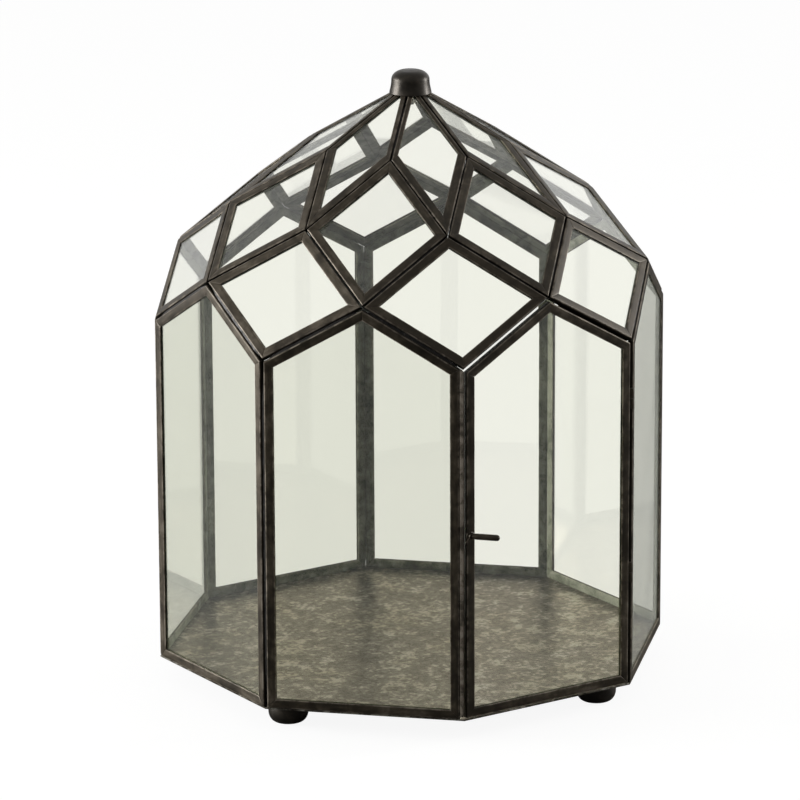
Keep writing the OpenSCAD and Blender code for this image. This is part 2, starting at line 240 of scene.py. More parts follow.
def came_material():
    """Folded sheet metal under a dark brown patina, paler and duller inside. Its folds and lips
    are lighter, partly from wear and partly as a painted highlight, and its groove has painted
    shade.
    """
    material, tree = new_material("patinated_came")
    place = place_in_object(tree)
    streaks = speckle(tree, stretched(tree, mark(tree, "strip", "Vector"), STREAKS), 1.0, 5, 0.65)
    mottle = speckle(tree, place, 130, 5, 0.65, 0.5)
    drift = speckle(tree, place, 14, 2, 0.5)
    grain = speckle(tree, place, 2200, 3, 0.6)
    stain = weighted(tree, (streaks, 0.4), (mottle, 0.35), (drift, 0.25))
    within = mark(tree, "inside")
    bared = weighted(tree, (stain, 1.0), (mark(tree, "bare"), 0.25))
    colour = blend(tree, within, ramp(tree, stain, *PATINA), ramp(tree, bared, *BARE_METAL))
    # Painted highlight: folds and lips turn lighter and more metallic, partly as wear and partly
    # for the light they catch.
    rubbed_and_highlit = maths(tree, "MULTIPLY", mark(tree, "worn"),
                   ramp(tree, mottle, (0.42, 0.15), (0.6, 1.0)), clamp=True)
    colour = blend(tree, rubbed_and_highlit, colour, WEAR_AND_HIGHLIGHT_COLOUR)
    # Painted shade: the corner of the groove is turned near black, over the dark patina of its
    # web.
    colour = blend(tree, mark(tree, "groove"), colour, GROOVE_SHADE_AND_PATINA)
    rough = ramp(tree, stain, (0.38, 0.3), (0.62, 0.5))
    dulled = maths(tree, "MULTIPLY", within, ramp(tree, mottle, (0.42, 0.48), (0.6, 0.3)))
    height = weighted(tree, (grain, 0.4), (streaks, 1.0))
    bump = add(tree, "ShaderNodeBump", {"Strength": 0.5, "Distance": 0.00016, "Height": height})
    surface = add(tree, "ShaderNodeBsdfPrincipled", {
        "Base Color": colour, "Roughness": rough, "Metallic": maths(tree, "MULTIPLY", rubbed_and_highlit, 0.5),
        "Specular IOR Level": maths(tree, "SUBTRACT", 0.5, dulled), "Specular Tint": CAME_GLOSS,
        "Normal": bump.outputs[0]})
    close(tree, surface.outputs[0])
    return material


def turned_material():
    """Turned knob and feet: near black, satin, with faint rings left by the tool."""
    material, tree = new_material("turned_metal")
    place = place_in_object(tree)
    mottle = speckle(tree, place, 160, 4, 0.6)
    rings = speckle(tree, stretched(tree, place, TOOL_RINGS), 1.0, 2, 0.5)
    rough = ramp(tree, mottle, (0.35, 0.3), (0.7, 0.46))
    height = weighted(tree, (rings, 0.5), (mottle, 1.0))
    bump = add(tree, "ShaderNodeBump", {"Strength": 0.25, "Distance": 0.00015, "Height": height})
    surface = add(tree, "ShaderNodeBsdfPrincipled", {
        "Base Color": ramp(tree, mottle, *TURNED), "Roughness": rough,
        "Specular Tint": TURNED_GLOSS, "Normal": bump.outputs[0]})
    close(tree, surface.outputs[0])
    return material


def solder_material():
    """Blackened solder, lumpy and duller than the came."""
    material, tree = new_material("blackened_solder")
    place = place_in_object(tree)
    lumps = speckle(tree, place, 420, 3, 0.55)
    bump = add(tree, "ShaderNodeBump", {"Strength": 0.5, "Distance": 0.0003, "Height": lumps})
    surface = add(tree, "ShaderNodeBsdfPrincipled", {
        "Base Color": ramp(tree, lumps, *SOLDERED), "Metallic": 0.3,
        "Roughness": ramp(tree, lumps, (0.3, 0.6), (0.7, 0.38)), "Normal": bump.outputs[0]})
    close(tree, surface.outputs[0])
    return material


def steel_material():
    """Zinc-plated steel of the stud, washer, nut and pins."""
    material, tree = new_material("plated_steel")
    place = place_in_object(tree)
    cloud = speckle(tree, place, 300, 4, 0.6)
    bump = add(tree, "ShaderNodeBump", {"Strength": 0.2, "Distance": 0.0001, "Height": cloud})
    surface = add(tree, "ShaderNodeBsdfPrincipled", {
        "Base Color": ramp(tree, cloud, *PLATED), "Metallic": 1.0,
        "Roughness": ramp(tree, cloud, (0.3, 0.28), (0.7, 0.45)), "Normal": bump.outputs[0]})
    close(tree, surface.outputs[0])
    return material


def zinc_material():
    """Aged galvanised sheet: dull brown-grey, clouded, with small pale flecks of clean zinc."""
    material, tree = new_material("aged_zinc")
    place = place_in_object(tree)
    drift = add(tree, "ShaderNodeTexNoise", {"Vector": place, "Scale": 110.0, "Detail": 3.0})
    bent = add(tree, "ShaderNodeVectorMath", {
        0: drift.outputs["Color"], 1: GRAIN_BEND, 2: place}, operation="MULTIPLY_ADD").outputs[0]
    cells = add(tree, "ShaderNodeTexVoronoi", {"Vector": bent, "Scale": 420.0})
    leaf = add(tree, "ShaderNodeSeparateColor", {0: cells.outputs["Color"]}).outputs[0]
    cloud = speckle(tree, bent, 90, 3, 0.6)
    crumb = speckle(tree, place, 330, 4, 0.65)
    patches = speckle(tree, place, 26, 4, 0.6)
    tone = weighted(tree, (cloud, 0.40), (crumb, 0.38), (patches, 0.16), (leaf, 0.06))
    stain = ramp(tree, patches, (0.44, 0.0), (0.62, 0.8))
    colour = blend(tree, stain, ramp(tree, tone, *ZINC), ZINC_STAIN, mode="MULTIPLY")
    facet = add(tree, "ShaderNodeVectorMath", {0: cells.outputs["Color"], 1: (0.5, 0.5, 0.5)},
                operation="SUBTRACT")
    normal = add(tree, "ShaderNodeNewGeometry").outputs["Normal"]
    tilted = add(tree, "ShaderNodeVectorMath", {
        0: facet.outputs[0], 1: FACET_TILT, 2: normal}, operation="MULTIPLY_ADD")
    tilted = add(tree, "ShaderNodeVectorMath", {0: tilted.outputs[0]}, operation="NORMALIZE")
    bump = add(tree, "ShaderNodeBump", {
        "Strength": 0.5, "Distance": 0.0003, "Height": tone, "Normal": tilted.outputs[0]})
    surface = add(tree, "ShaderNodeBsdfPrincipled", {
        "Base Color": colour, "Roughness": ramp(tree, tone, (0.4, 0.28), (0.6, 0.42)),
        "Metallic": 0.75, "Specular Tint": ZINC_GLOSS, "Normal": bump.outputs[0]})
    close(tree, surface.outputs[0])
    return material


def glass_material():
    """Old sheet glass, slightly wavy, each pane with its own faint tint. Light that only
    falls through it is let by, so that it casts no dark shadow."""
    material, tree = new_material("sheet_glass")
    place = place_in_object(tree)
    tint = ramp(tree, mark(tree, "tint"), *GLASS_TINT)
    waves = speckle(tree, place, 16, 1, 0.4)
    bump = add(tree, "ShaderNodeBump", {"Strength": 0.05, "Distance": 0.002, "Height": waves})
    solid = add(tree, "ShaderNodeBsdfPrincipled", {
        "Base Color": tint, "Roughness": 0.0, "IOR": GLASS_IOR, "Transmission Weight": 1.0,
        "Normal": bump.outputs[0]})
    clear = add(tree, "ShaderNodeBsdfTransparent", {"Color": tint})
    ray = add(tree, "ShaderNodeLightPath").outputs
    passing = maths(tree, "MAXIMUM", ray["Is Shadow Ray"], ray["Is Diffuse Ray"])
    close(tree, add(tree, "ShaderNodeMixShader", {
        0: passing, 1: solid.outputs[0], 2: clear.outputs[0]}).outputs[0])
    return material


# ---------------------------------------------------------------- pieces


class Shape:
    """Closed shells gathered into one piece, with attribute values for each vertex."""

    def __init__(self):
        self.points, self.faces, self.marks = [], [], {}

    def add(self, points, faces, place=Matrix.Identity(4), **marks):
        first = len(self.points)
        self.points += [place @ Vector(p) for p in points]
        self.faces += [[first + v for v in face] for face in faces]
        for name, values in marks.items():
            self.marks.setdefault(name, []).extend(values)

    def piece(self, name, body, material, slot, replaced=(), crease=math.radians(38)):
        """The mesh object, shaded smooth up to the crease angle, riding on its body."""
        mesh = bpy.data.meshes.new(name)
        mesh.from_pydata([tuple(p) for p in self.points], [], self.faces)
        for key, values in self.marks.items():
            kind = "FLOAT_VECTOR" if isinstance(values[0], tuple) else "FLOAT"
            layer = mesh.attributes.new(key, kind, "POINT")
            if kind == "FLOAT":
                layer.data.foreach_set("value", values)
            else:
                layer.data.foreach_set("vector", [x for value in values for x in value])
        bm = bmesh.new()
        bm.from_mesh(mesh)
        bmesh.ops.recalc_face_normals(bm, faces=bm.faces)
        bm.to_mesh(mesh)
        bm.free()
        mesh.shade_smooth()
        mesh.set_sharp_from_angle(angle=crease)
        return finish_piece(bpy.data.objects.new(name, mesh), body, material, replaced)


def finish_piece(made, body, material, replaced):
    bpy.context.scene.collection.objects.link(made)
    made.data.materials.clear()
    made.data.materials.append(material)
    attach(made, body)
    if replaced:
        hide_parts(*replaced)
    return made


def wobble(*place):
    """Smooth noise from -1 to 1."""
    return noise.noise(Vector(place))


def arc(centre, radius, start, end, steps):
    """Points on an arc, with its angles in degrees."""
    angles = [math.radians(start + (end - start) * i / steps) for i in range(steps + 1)]
    return [(centre[0] + radius * math.cos(a), centre[1] + radius * math.sin(a)) for a in angles]


def skin(count, total):
    """Faces of a closed skin over rings of count points, total points in all."""
    faces = [[a + n, a + (n + 1) % count, a + count + (n + 1) % count, a + count + n]
             for a in range(0, total - count, count) for n in range(count)]
    return faces + [list(range(count))[::-1], list(range(total - count, total))]


def lathe(profile, steps=72):
    """A closed profile of (radius, height) points, turned about the z axis."""
    points, rings = [], []
    for radius, height in profile:
        if radius < 1e-7:
            rings.append([len(points)] * steps)
            points.append((0, 0, height))
        else:
            rings.append([len(points) + i for i in range(steps)])
            points += [(radius * math.cos(2 * math.pi * i / steps),
                        radius * math.sin(2 * math.pi * i / steps), height) for i in range(steps)]
    faces = []
    closed = profile[0][0] > 1e-7 or profile[-1][0] > 1e-7
    for a, b in zip(rings, rings[1:] + (rings[:1] if closed else [])):
        for i in range(steps):
            j = (i + 1) % steps
            face = [a[i], a[j], b[j], b[i]]
            faces.append([v for n, v in enumerate(face) if v not in face[:n]])
    return points, faces


def tube(path, radii, steps=20):
    """A round bar along a path of points, with a radius at each, closed at both ends."""
    path = [Vector(p) for p in path]
    points, side = [], None
    for i, (p, r) in enumerate(zip(path, radii)):
        ahead = (path[min(i + 1, len(path) - 1)] - path[max(i - 1, 0)]).normalized()
        if side is None:
            side = ahead.orthogonal().normalized()
        side = (side - ahead * side.dot(ahead)).normalized()
        other = ahead.cross(side)
        for n in range(steps):
            angle = 2 * math.pi * n / steps
            points.append(tuple(p + (side * math.cos(angle) + other * math.sin(angle)) * r))
    return points, skin(steps, len(points))


def round_end(tip, direction, radius, steps=6):
    """Path points and radii that close a round bar with half a ball at its tip."""
    angles = [math.pi / 2 * i / steps for i in range(steps)]
    path = [Vector(tip) + Vector(direction) * radius * (math.sin(a) - 1) for a in angles]
    return path, [radius * math.cos(a) for a in angles]


# ---------------------------------------------------------------- panes in their planes


def ring_r(k):
    return CORNER_R * math.cos(HALF_TURN * k)


def ring_z(k):
    return FLOOR_Z + WALL_H + ROOF_RISE * k


def row_run(k):
    return ring_r(k) - ring_r(k + 1) * math.cos(HALF_TURN)


def row_slope(k):
    return math.atan2(ROOF_RISE, row_run(k))


def row_widths(k):
    """Widths of the strips round a roof pane. The top row has narrow ones on its ridges."""
    return [CAME_W, RIDGE_W, RIDGE_W, CAME_W] if k == 2 else [CAME_W] * 4


def row_azimuth(k, i):
    """Rows 0 and 2 stand over the wall corners, row 1 over the middle of the walls."""
    return (i - 1) * TURN + (0 if k == 1 else HALF_TURN)


def fold(a, b, c):
    """Angle between the outward normals of two panes with slopes a and b, turned by c."""
    return math.acos(math.sin(a) * math.sin(b) * math.cos(c) + math.cos(a) * math.cos(b))


WALL = [Vector(p) for p in ((-WALL_W / 2, 0), (WALL_W / 2, 0), (WALL_W / 2, WALL_H),
                            (0, WALL_H + ROOF_RISE), (-WALL_W / 2, WALL_H))]


def rhombus(k):
    x, v = ring_r(k + 1) * math.sin(HALF_TURN), math.hypot(row_run(k), ROOF_RISE)
    return [Vector(p) for p in ((0, 0), (x, v), (0, 2 * v), (-x, v))]


def on_wall(azimuth):
    return (Matrix.Rotation(azimuth, 4, "Z") @ Matrix.Translation((0, -WALL_D, FLOOR_Z))
            @ Matrix.Rotation(math.pi / 2, 4, "X"))


def on_roof(k, azimuth):
    return (Matrix.Rotation(azimuth, 4, "Z") @ Matrix.Translation((0, -ring_r(k), ring_z(k)))
            @ Matrix.Rotation(row_slope(k), 4, "X"))


def edge_dir(outline, i):
    return (outline[(i + 1) % len(outline)] - outline[i]).normalized()


def inset(outline, depths):
    """The outline with each edge moved inwards by its depth."""
    moved = []
    for i, corner in enumerate(outline):
        a, b = edge_dir(outline, i - 1), edge_dir(outline, i)
        m, n = Vector((-a.y, a.x)), Vector((-b.y, b.x))
        before, here = depths[i - 1], depths[i]
        moved.append(corner + Vector((before * n.y - here * m.y, m.x * here - n.x * before))
                     / (m.x * n.y - n.x * m.y))
    return moved


# ---------------------------------------------------------------- came strips

FOLD_R = 0.9 * MM         # rounding of the outer folds
FOLD_IN_R = 0.13 * MM     # rounding of the folds on the inner side
LIP_R = 0.26 * MM         # rounding of the lips beside the glass
GROOVE_EDGE = 0.1 * MM    # what lies nearer to the corner gets the painted shade of the groove
CROWN = 0.10 * MM         # how far a flange's face falls from its middle to its sides
STATION = 4 * MM          # spacing of the cross-sections along a strip
FACE_WAVE = 0.09 * MM     # how far a face wanders along the strip
FACE_RATE = 38            # how often, per metre
LIP_WAVE = 0.08 * MM      # how far a lip wanders
LIP_RATE = 90
WEAR_RATE = 60            # how often the wear of a fold changes, per metre
MITRE_EASE = ((0.0, 0.14 * MM), (0.35 * MM, 0.04 * MM), (1.0 * MM, 0.0))  # falls at a mitre
ARRIS = 0.2 * MM          # taken off the edges of a pane


def came_section(width):
    """Cross-section of a strip: (depth from the edge, height, wear with painted highlight, inside)
    round the U.
    """
    slot = GLASS_T + 2 * GLASS_PLAY
    low, high = (CAME_T - slot) / 2, (CAME_T + slot) / 2
    # The third number marks wear with painted highlight, strongest on the outer fold and the lips.
    rounded = arc((FOLD_R, CAME_T - FOLD_R), FOLD_R, 180, 90, 6)
    section = [(*p, math.sin(math.pi * n / 6), 0.0) for n, p in enumerate(rounded)]
    for n in range(1, 6):
        share = FOLD_R / width + (1 - FOLD_R / width) * n / 6
        section.append((width * share, CAME_T - CROWN * (2 * share - 1) ** 2, 0.0, 0.0))
    lip_top = CAME_T - CROWN
    section += [(*p, 0.9, 0.0) for p in arc((width - LIP_R, lip_top - LIP_R), LIP_R, 90, 0, 3)]
    section += [(width, high, 0.2, 0.0), (width - 1.5 * LIP_R, high, 0.0, 0.0)]
    section += [(CAME_METAL, high, 0.0, 0.0), (CAME_METAL, low, 0.0, 1.0)]
    section += [(width - 1.5 * LIP_R, low, 0.0, 1.0), (width, low, 0.0, 1.0)]
    section += [(*p, 0.4, 1.0) for p in arc((width - LIP_R, LIP_R + CROWN), LIP_R, 0, -90, 3)]
    for share in (0.75, 0.5, 0.25):
        section.append((width * share, CROWN * (2 * share - 1) ** 2, 0.0, 1.0))
    section += [(*p, 0.0, 1.0) for p in arc((FOLD_IN_R, FOLD_IN_R), FOLD_IN_R, 270, 180, 2)]
    return section


SECTIONS = {width: came_section(width) for width in (CAME_W, RIDGE_W)}


def add_strip(shape, place, outline, gaps, widths, i, seed, bare):
    """One mitred strip of came along edge i of the outline."""
    j = (i + 1) % len(outline)
    width, section = widths[i], SECTIONS[widths[i]]
    outer, inner = inset(outline, gaps), inset(outline, [g + w for g, w in zip(gaps, widths)])
    along = edge_dir(outline, i)
    lean_a, lean_b = (inner[i] - outer[i]) / width, (inner[j] - outer[j]) / width
    cut_a = MITRE_GAP / 2 * lean_a.length / abs(along.cross(lean_a))
    cut_b = MITRE_GAP / 2 * lean_b.length / abs(along.cross(lean_b))
    start, end = outer[i] + along * cut_a, outer[j] - along * cut_b
    length = (end - start).length
    between = max(2, round((length - 2 * STATION) / STATION))
    stations = [x for x, _ in MITRE_EASE]
    stations += [STATION + (length - 2 * STATION) * n / between for n in range(between + 1)]
    stations += [length - x for x, _ in reversed(MITRE_EASE)]
    eased = dict(MITRE_EASE)
    points, strip, worn, inside, groove = [], [], [], [], []
    for x in stations:
        t = x / length
        drop = eased.get(min(x, length - x), eased.get(round(length - x, 9), 0.0))
        face = FACE_WAVE * (wobble(x * FACE_RATE, seed, 0.3) - 1) / 2
        back = FACE_WAVE * (wobble(x * FACE_RATE, seed, 7.7) + 1) / 2
        held = min(1, x / STATION, (length - x) / STATION)
        lip = LIP_WAVE * wobble(x * LIP_RATE, seed, 3.1) * held
        for n, (u, z, rubbed_and_highlit, within) in enumerate(section):
            share = u / width
            z += (back + drop) * share if within else (face - drop) * (0.35 + 0.65 * share)
            at = (start + lean_a * u) * (1 - t) + (end + lean_b * u) * t
            at += Vector((-along.y, along.x)) * lip * share ** 3
            points.append((at.x, at.y, z))
            strip.append((x, n * CAME_W / len(section), seed))
            # Wear with painted highlight, varying along the strip.
            worn.append(rubbed_and_highlit * (0.6 + 0.4 * wobble(x * WEAR_RATE, seed, n)))
            inside.append(within)
            # Points in the corner of the groove get its painted shade.
            groove.append(1.0 if u < GROOVE_EDGE else 0.0)
    shape.add(points, skin(len(section), len(points)), place, strip=strip, worn=worn,
              inside=inside, groove=groove, bare=[bare] * len(points))


def came_frame(name, body, place, outline, gaps, number, material, bare, widths=None):
    """The strips round one pane. It stands for the CAD node of the same pane."""
    shape = Shape()
    for i in range(len(outline)):
        add_strip(shape, place, outline, gaps, widths or [CAME_W] * len(outline), i,
                  number * 10.7 + i * 2.3, bare)
    return shape.piece(name + "_came", body, material, "came", [name])


def add_pane(shape, place, outline, gaps, tint, widths=None):
    """A sheet of glass with its arrises taken off."""
    widths = widths or [CAME_W] * len(outline)
    inner = [g + max(w - GLASS_BITE, GLASS_BACK) for g, w in zip(gaps, widths)]
    low = (CAME_T - GLASS_T) / 2
    high = low + GLASS_T
    points = []
    for depth, z in ((ARRIS, low), (0, low + ARRIS), (0, high - ARRIS), (ARRIS, high)):
        points += [(p.x, p.y, z) for p in inset(outline, [g + depth for g in inner])]
    shape.add(points, skin(len(outline), len(points)), place, tint=[tint] * len(points))


# ---------------------------------------------------------------- solder

SOLDER_LOW = 1 * MM       # distances of its inner and outer face from the pane's edge
SOLDER_HIGH = 2.15 * MM
SOLDER_GAP = 0.08 * MM    # from the frames on both sides
SOLDER_SHORT = 4 * MM     # from the ends of an edge
RIDGE_SHORT = 17 * MM     # from the apex, clear of the finial
SOLDER_STATION = 2.2 * MM
SOLDER_WAVE = 0.3 * MM
SOLDER_RATE = 160         # lumps per metre


def add_bead(shape, place, outline, i, angle, seed, short_end=SOLDER_SHORT):
    """Solder run into the groove along edge i, between frames that are angle apart."""
    along = edge_dir(outline, i)
    out = Vector((along.y, -along.x))
    length = (outline[(i + 1) % len(outline)] - outline[i]).length - SOLDER_SHORT - short_end
    count = max(3, round(length / SOLDER_STATION))
    across = 6
    points = []
    for s in range(count + 1):
        x = SOLDER_SHORT + length * s / count
        end = math.sin(math.pi * min(0.5, 4 * min(s, count - s) / count))
        rise = SOLDER_HIGH - SOLDER_LOW + SOLDER_WAVE * wobble(x * SOLDER_RATE, seed, 5)
        top = SOLDER_LOW + rise * max(end, 0.25)
        ring = [(SOLDER_LOW, n / across) for n in range(across + 1)]
        ring += [(top * (0.93 + 0.07 * (2 * n / across - 1) ** 2), n / across)
                 for n in range(across, -1, -1)]
        for radius, share in ring:
            edge = SOLDER_GAP / radius
            turn = edge + (angle - 2 * edge) * share
            at = outline[i] + along * x + out * radius * math.sin(turn)
            points.append((at.x, at.y, radius * math.cos(turn)))
    shape.add(points, skin(len(ring), len(points)), place)


def make_solder(material):
    walls, eaves, roof = Shape(), Shape(), Shape()
    for i in range(1, SIDES - 1):
        add_bead(walls, on_wall(TURN * i), WALL, 1, TURN, i)
    eave_fold = fold(math.pi / 2, row_slope(0), HALF_TURN)
    for i in range(1, SIDES + 1):
        place = on_roof(0, row_azimuth(0, i))
        if i < SIDES:
            add_bead(eaves, place, rhombus(0), 0, eave_fold, 20 + i)
        if i > 1:
            add_bead(eaves, place, rhombus(0), 3, eave_fold, 30 + i)
    for i in range(1, SIDES + 1):
        for k in (1, 2):
            step_fold = fold(row_slope(k - 1), row_slope(k), HALF_TURN)
            for edge in (0, 3):
                add_bead(roof, on_roof(k, row_azimuth(k, i)), rhombus(k), edge, step_fold,
                         40 + 10 * k + i + edge)
        ridge_fold = fold(row_slope(2), row_slope(2), TURN)
        add_bead(roof, on_roof(2, row_azimuth(2, i)), rhombus(2), 1, ridge_fold, 90 + i,
                 RIDGE_SHORT)
    walls.piece("wall_beads", "house", material, "solder", ["wall_solder"])
    eaves.piece("eave_beads", "house", material, "solder", ["eave_solder"])
    roof.piece("roof_beads", "house", material, "solder", ["roof_solder"])


# ---------------------------------------------------------------- glasshouse

ROWS = ("lower", "middle", "upper")
# From the door round: how far the patina is gone inside, and the tint, 0 greenest to 1 clear.
WALL_BARE = (0.3, 0.5, 0.95, 0.4, 0.5, 0.6, 0.5, 0.5)
WALL_TINT = (0.8, 0.35, 0.5, 0.7, 0.6, 0.45, 0.1, 0.15)


def roof_tint(number):
    """Tint of a roof pane, which differs from each pane to the next."""
    return 0.84 + 0.16 * math.sin(number * 2.4)


def make_glasshouse(came, glass):
    """The frames and panes of the walls, the door and the three rows of the roof."""
    seams = [SEAM_GAP] * len(WALL)
    panes = Shape()
    for i in range(1, SIDES):
        gaps = seams if i < SIDES - 1 else [SEAM_GAP, STRIP_W] + seams[2:]
        came_frame(f"wall_frame_{i}", "house", on_wall(TURN * i), WALL, gaps, i, came,
                   WALL_BARE[i])
        add_pane(panes, on_wall(TURN * i), WALL, gaps, WALL_TINT[i])
    panes.piece("wall_panes", "house", glass, "glass", ["wall_glass"])
    came_frame("door_frame", "door", on_wall(0), WALL, DOOR_GAPS, 9, came, WALL_BARE[0])
    panes = Shape()
    add_pane(panes, on_wall(0), WALL, DOOR_GAPS, WALL_TINT[0])
    panes.piece("door_pane", "door", glass, "glass", ["door_glass"])
    for k, row in enumerate(ROWS):
        panes, outline, gaps = Shape(), rhombus(k), [SEAM_GAP] * 4
        for i in range(1, SIDES + 1):
            place, number = on_roof(k, row_azimuth(k, i)), 10 * (k + 1) + i
            came_frame(f"{row}_roof_frame_{i}", "house", place, outline, gaps, number, came,
                       roof_tint(number + 5) - 0.3, row_widths(k))
            add_pane(panes, place, outline, gaps, roof_tint(number), row_widths(k))
        panes.piece(row + "_roof_panes", "house", glass, "glass", [row + "_roof_glass"])


# ---------------------------------------------------------------- base plate

PLATE_EDGE = 0.25 * MM    # rounding of its rim
PLATE_WAVE = 0.22 * MM    # depth of its buckles
PLATE_RATE = 26           # buckles per metre
PLATE_STEPS, PLATE_RINGS = 96, 30


def octagon(angle):
    """Distance from the axis to an octagon's side, for an apothem of 1."""
    return 1 / math.cos((angle + HALF_TURN) % TURN - HALF_TURN)


def make_base_plate(material):
    """Octagonal zinc sheet, with rounded edges and a slight buckle."""
    apothem = (PLATE_HIGH.x - PLATE_LOW.x) / 2
    low, high = PLATE_LOW.z, PLATE_HIGH.z
    profile = [(apothem * r / PLATE_RINGS, high) for r in range(1, PLATE_RINGS)]
    profile += [(apothem - PLATE_EDGE, high), (apothem, high - PLATE_EDGE),
                (apothem, low + PLATE_EDGE), (apothem - PLATE_EDGE, low)]
    profile += [(apothem * r / PLATE_RINGS, low) for r in (20, 10, 2)]
    points = []
    for radius, z in profile:
        for n in range(PLATE_STEPS):
            angle = 2 * math.pi * n / PLATE_STEPS
            x, y = (radius * octagon(angle) * f(angle) for f in (math.cos, math.sin))
            inside = max(0.0, 1 - (radius / apothem) ** 6)
            dip = PLATE_WAVE * inside * (wobble(x * PLATE_RATE, y * PLATE_RATE, 1.7) - 1) / 2
            points.append((x, y, z + dip))
    shape = Shape()
    shape.add(points, skin(PLATE_STEPS, len(points)))
    shape.piece("zinc_floor", "house", material, "zinc", ["base_plate"])


# ---------------------------------------------------------------- turned parts

FOOT_FLAT = 6.3 * MM      # radius of what it stands on
FOOT_HEEL = 0.4 * MM      # chamfer round the flat
FOOT_LIFT = 0.1 * MM
FOOT_BELLY = 0.5          # height of the widest part, of the foot's height
FOOT_FULLNESS = 0.85      # 1 for an ellipse below the belly, less for a fuller one
FOOT_DRAWN_IN = 0.16      # how far the top draws in, of the radius

FINIAL_RIM = 0.3 * MM     # chamfer at its foot
FINIAL_LIP = 0.45 * MM    # height of the widest part
FINIAL_HOLLOW = 0.15 * MM
FINIAL_FLARE = 1.2 * MM   # height of the flare, and how far the drum draws in above it
FINIAL_SHOULDER = 5.9 * MM
FINIAL_ROUND = 7.2 * MM   # how far the shoulder runs inwards
FINIAL_CROWN = 0.35 * MM


def quarter_turn(steps):
    """Angles up to a quarter turn, without 0."""
    return [math.pi / 2 * n / steps for n in range(1, steps + 1)]


def make_feet(material):
    """Turned bun feet with a full belly and a small flat to stand on."""
    for name in ("front_right", "rear_right", "rear_left", "front_left"):
        low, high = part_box("foot_" + name)
        centre, radius, height = (low + high) / 2, (high.x - low.x) / 2, high.z - low.z
        belly = FOOT_BELLY * height
        profile = [(0, 0), (FOOT_FLAT - FOOT_HEEL, 0), (FOOT_FLAT, FOOT_LIFT)]
        for angle in quarter_turn(14):
            profile.append((FOOT_FLAT + (radius - FOOT_FLAT) * math.sin(angle) ** FOOT_FULLNESS,
                            FOOT_LIFT + (belly - FOOT_LIFT) * (1 - math.cos(angle))))
        for angle in quarter_turn(8):
            profile.append((radius - FOOT_DRAWN_IN * radius * (1 - math.cos(angle)),
                            belly + (height - belly) * math.sin(angle)))
        profile += [(0.5 * radius, height), (0, height)]
        shape = Shape()
        shape.add(*lathe(profile), Matrix.Translation((centre.x, centre.y, low.z)))
        shape.piece("bun_foot_" + name, "house", material, "turned_metal", ["foot_" + name])


def make_finial(material):
    """The knob: a drum with a slight flare, a broad round shoulder and a crowned top."""
    low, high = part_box("finial")
    radius = (high.x - low.x) / 2
    top = high.z
    fall = ROOF_RISE / ring_r(3)
    seat = low.z + radius * fall
    waist, waist_z = radius - FINIAL_HOLLOW, low.z + FINIAL_FLARE
    neck, shoulder_z = radius - FINIAL_FLARE, top - FINIAL_SHOULDER
    profile = [(0, seat), (radius * 0.5, seat - radius * 0.5 * fall),
               (radius - FINIAL_RIM, low.z + 0.2 * MM), (radius, low.z + FINIAL_LIP),
               (waist, waist_z)]
    for n, angle in enumerate(quarter_turn(6)[:-1], 1):
        profile.append((waist + (neck - waist) * math.sin(angle),
                        waist_z + (shoulder_z - waist_z) * n / 6))
    flat = neck - FINIAL_ROUND
    for angle in [0.0] + quarter_turn(12):
        profile.append((flat + FINIAL_ROUND * math.cos(angle),
                        shoulder_z + (FINIAL_SHOULDER - FINIAL_CROWN) * math.sin(angle)))
    profile += [(flat * 0.5, top - 0.1 * MM), (0, top)]
    shape = Shape()
    shape.add(*lathe(profile, 96))
    shape.piece("turned_finial", "house", material, "turned_metal", ["finial"])


# ---------------------------------------------------------------- fittings

EDGE = 0.12 * MM          # how far the edges of a machined part are broken
STRIP_EDGE = 0.3 * MM     # and those of the folded closing strip
SHARP = math.radians(32)  # edges sharper than this are broken


def machined(node, material, body, edge=EDGE, worn=0.0):
    """A copy of a CAD node's mesh with its sharp edges broken, with an even mark of wear and
    painted highlight.
    """
    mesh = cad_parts[node].data.copy()
    bm = bmesh.new()
    bm.from_mesh(mesh)
    bmesh.ops.remove_doubles(bm, verts=bm.verts, dist=0.001 * MM)
    bmesh.ops.dissolve_limit(bm, angle_limit=math.radians(1), verts=bm.verts, edges=bm.edges)
    sharp = [e for e in bm.edges if len(e.link_faces) == 2 and e.calc_face_angle() > SHARP]
    bmesh.ops.bevel(bm, geom=sharp, offset=edge, segments=2, profile=0.6, affect="EDGES",
                    clamp_overlap=True)
    bmesh.ops.recalc_face_normals(bm, faces=bm.faces)
    bm.to_mesh(mesh)
    bm.free()
    mesh.attributes.new("worn", "FLOAT", "POINT").data.foreach_set(
        "value", [worn] * len(mesh.vertices))
    mesh.shade_smooth()
    mesh.set_sharp_from_angle(angle=math.radians(30))
    made = bpy.data.objects.new(node + "_finished", mesh)
    return finish_piece(made, body, material, [node])


def make_fittings(came, steel):
    for node in ("finial_stud", "finial_washer", "finial_nut", "foot_studs", "hinge_pins"):
        machined(node, steel, "house")
    for node in ("door_stop", "hinge_post_barrels"):
        machined(node, came, "house")
    # The closing strip is lighter all over: wear and painted highlight.
    machined("closing_strip", came, "house", STRIP_EDGE, worn=1.0)
    machined("hinge_door_barrels", came, "door")
    machined("latch_spindle", steel, "latch")
    machined("latch_tongue", came, "latch")


HANDLE_R = 1.8 * MM
HANDLE_L = 16.5 * MM
HANDLE_ANGLE = math.radians(48)     # how far it stands away from the door
HANDLE_FOOT = 0.8 * MM              # height of its root over the seat
EYE_H = 1.5 * MM
EYE_ROUND = 0.4 * MM
TAIL_R = 0.6 * MM
TAIL_L = 5.5 * MM
RIM_R = 0.45 * MM                   # rolled rim of the boss
BOSS_HOLE = 1.0 * MM
BOSS_DISH = 0.25 * MM               # how far its face lies below the rim


